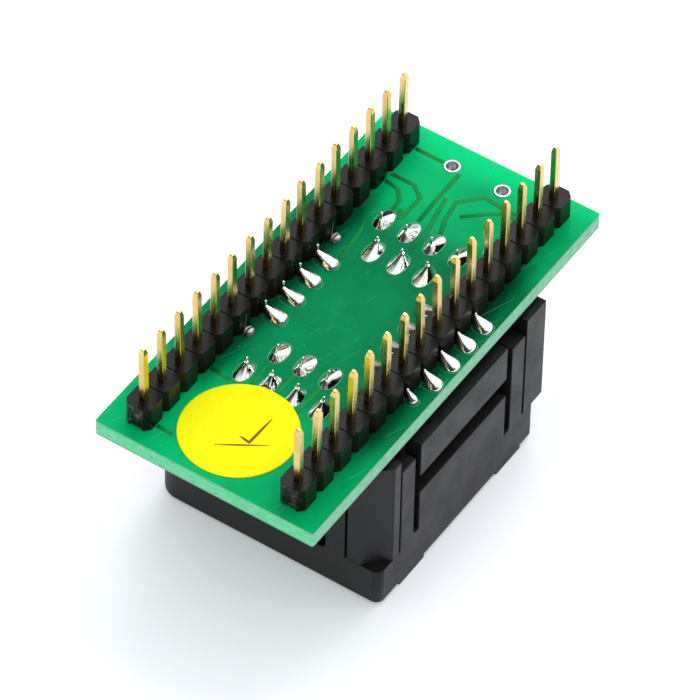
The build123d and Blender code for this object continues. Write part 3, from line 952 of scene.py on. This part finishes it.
# x and y in mm, from a pin, hole or joint on
traceRoutes = dict(
    pinToHole=[(19.05, 6.3), (19.05, 3.4)],
    holeToLead=[(18.64, 1.52), (17.06, 1.49), (14.97, 1.46), (12.03, 1.34)],
    secondPin=[(15.4, 6.3), (15.4, 3.9), (14.4, 2.7), (11.7, 2.75), (11.2, 3.3)],
    thirdPin=[(14.5, 6.3), (14.2, 4.8), (13.2, 4.0), (11.4, 3.8)],
    rightPin=[(17.4, -6.3), (17.4, -3.6), (17.6, -1.8), (15.75, -0.05), (13.4, -0.45),
              (11.3, -1.2)],
    lowerPin=[(16.9, -6.3), (16.9, -4.2), (16.2, -3.1), (14.5, -1.25)],
    farLead1=[(8.9, 2.7), (12.5, 3.3)],
    farLead2=[(8.9, 0.2), (11.5, 0.1), (14.0, 0.6), (15.7, 0.9)],
    leftLead=[(9.6, 5.1), (8.3, 4.75), (4.7, 4.4)],
    nearLead1=[(-7.9, 2.7), (-10.6, 2.45), (-11.6, 2.4)],
    nearLead2=[(-7.9, 0.1), (-10.0, 0.2), (-11.4, 0.2)],
    nearLead3=[(-8.1, -2.45), (-11.0, -2.3), (-12.2, -2.3)],
    nearPin=[(-19.15, 6.3), (-19.25, 4.7)],
    nearLead4=[(-11.4, 6.3), (-11.6, 4.25)],
)


def traceRibbons():
    half, rise = traces["width"] / 2, traces["rise"]
    parts = [sweepRibbon(np.array(route) * mm, half, rise, boardTop)
             for route in traceRoutes.values()]
    makePiece("boardTraces", *joinParts(*parts), copperUnderLacquer, "board_laminate")


traceRibbons()
print("traces made")


def roundLabel():
    # rings from the centre to the rim, then down the rim: height = labelHeight, a little less at
    # the very edge
    around, rings = 160, 42
    share = np.concatenate([np.linspace(0.01, 0.985, rings - 2), [1.0, 1.0]])
    turn = fullTurn(around)
    x = labelX + share[:, None] * np.cos(turn) * label["radius"]
    y = labelY + share[:, None] * np.sin(turn) * label["radius"]
    height = labelHeight(x, y)
    height[-2] *= label["edgeShare"]
    height[-1] = 0
    points = np.stack([x, y, boardTop + height], -1)
    makePiece("roundLabel", points, tubeFaces(1, rings, around), yellowPaper, "label_paper",
              ["inspection_label"])


def inkLine(name, path, width):
    # a stroke with tapering ends, lying just on the paper
    path = np.array(path) * mm
    dense = np.linspace(0, len(path) - 1, 14 * len(path))
    x, y = (np.interp(dense, np.arange(len(path)), path[:, axis]) for axis in (0, 1))
    line = np.stack(turned(x, y, label["turn"]), -1) + (labelX, labelY)
    share = np.linspace(0, 1, len(line))
    half = width / 2 * np.sqrt(np.clip(np.sin(np.pi * share), 0.05, 1))
    base = boardTop + label["thickness"] + label["waviness"]
    makePiece(name, *sweepRibbon(line, half, ink["rise"], base), brownInk, "label_paper")


roundLabel()
inkLine("labelRule", [(-2.0, -1.6), (2.6, -1.6)], label["ruleWidth"])
inkLine("labelTick", [(0.1, -0.6), (0.9, -1.3), (2.7, 1.3)], label["tickWidth"])
print("label made")


view = dict(place=(-0.304187, -0.197912, 0.416707), turn=(42.0006, -0.8096, -56.0423),
            lens=333.49, sensor=36, farthest=10)
camera = placeObject("camera", bpy.data.cameras.new("camera"))
camera.location = view["place"]
camera.rotation_euler = [math.radians(angle) for angle in view["turn"]]
camera.data.lens = view["lens"]
camera.data.sensor_width = view["sensor"]
camera.data.clip_end = view["farthest"]
bpy.context.scene.camera = camera


def pickShader(tree, amount, a, b, end):
    pick = fedNode(tree, "ShaderNodeMixShader", {}, amount, a.outputs[0], b.outputs[0])
    fill(tree, tree.nodes[end].inputs["Surface"], pick.outputs[0])


floorLook = dict(size=1.6, lift=0.2, shader=dict(Base_Color=(0.92, 0.93, 0.985, 1), Roughness=0.8,
                                                 Specular_IOR_Level=0.1))


def makeFloor():
    # matt paper, a little brighter to the camera and in reflections than its light makes it
    size = floorLook["size"]
    mesh = bpy.data.meshes.new("floor")
    mesh.from_pydata([(-size, -size, 0), (size, -size, 0), (size, size, 0), (-size, size, 0)], [],
                     [(0, 1, 2, 3)])
    material, tree, _ = plainMaterial("paperFloor", floorLook["shader"])
    shader = tree.nodes["Principled BSDF"]
    glow = addNode(tree, "ShaderNodeEmission", Color=(1, 1, 1, 1), Strength=floorLook["lift"])
    rays = addNode(tree, "ShaderNodeLightPath").outputs
    both = fedNode(tree, "ShaderNodeAddShader", {}, shader.outputs[0], glow.outputs[0])
    pickShader(tree, calc(tree, "MAXIMUM", rays["Is Camera Ray"], rays["Is Glossy Ray"]), shader,
               both, "Material Output")
    mesh.materials.append(material)
    placeObject("floor", mesh)


studio = dict(
    # the tent is bright towards brightWay, in reflections more than on matt surfaces: from and to
    # where it brightens, how dim, how bright
    brightWay=(0.5, -0.3, 0.81), mirrored=(0.3, 0.76, 0.045, 1.25), even=(-0.6, 0.8, 0.62, 1.05),
    tint=(0.98, 0.99, 1.0, 1), backdrop=(1, 1, 1, 1),
    key=dict(place=(0.30, 0.05, 0.42), aim=(0, 0, 0.01), size=0.35, watts=0.9),
)


def makeWorld():
    world = bpy.data.worlds.new("studio")
    world.use_nodes = True
    bpy.context.scene.world = world
    tree = world.node_tree
    lit = tree.nodes["Background"]
    place = addNode(tree, "ShaderNodeTexCoord").outputs["Generated"]
    towards = fedNode(tree, "ShaderNodeVectorMath", {"operation": "DOT_PRODUCT"}, place,
                      studio["brightWay"]).outputs["Value"]
    rays = addNode(tree, "ShaderNodeLightPath").outputs
    even = remap(tree, towards, *studio["even"])
    extra = calc(tree, "SUBTRACT", remap(tree, towards, *studio["mirrored"]), even)
    fill(tree, lit.inputs["Strength"], addShare(tree, even, extra, rays["Is Glossy Ray"]))
    fill(tree, lit.inputs["Color"], studio["tint"])
    white = addNode(tree, "ShaderNodeBackground", Color=studio["backdrop"])
    pickShader(tree, rays["Is Camera Ray"], lit, white, "World Output")


def makeLamp(name, settings):
    lamp = bpy.data.lights.new(name, "AREA")
    lamp.size = settings["size"]
    lamp.energy = settings["watts"]
    holder = placeObject(name, lamp)
    holder.location = settings["place"]
    away = np.array(settings["place"]) - np.array(settings["aim"])
    holder.rotation_euler = (math.acos(away[2] / np.linalg.norm(away)), 0,
                             math.atan2(away[1], away[0]) + math.pi / 2)


makeFloor()
makeWorld()
makeLamp("keyLamp", studio["key"])
bpy.context.scene.view_settings.view_transform = "Standard"
print("stage made")
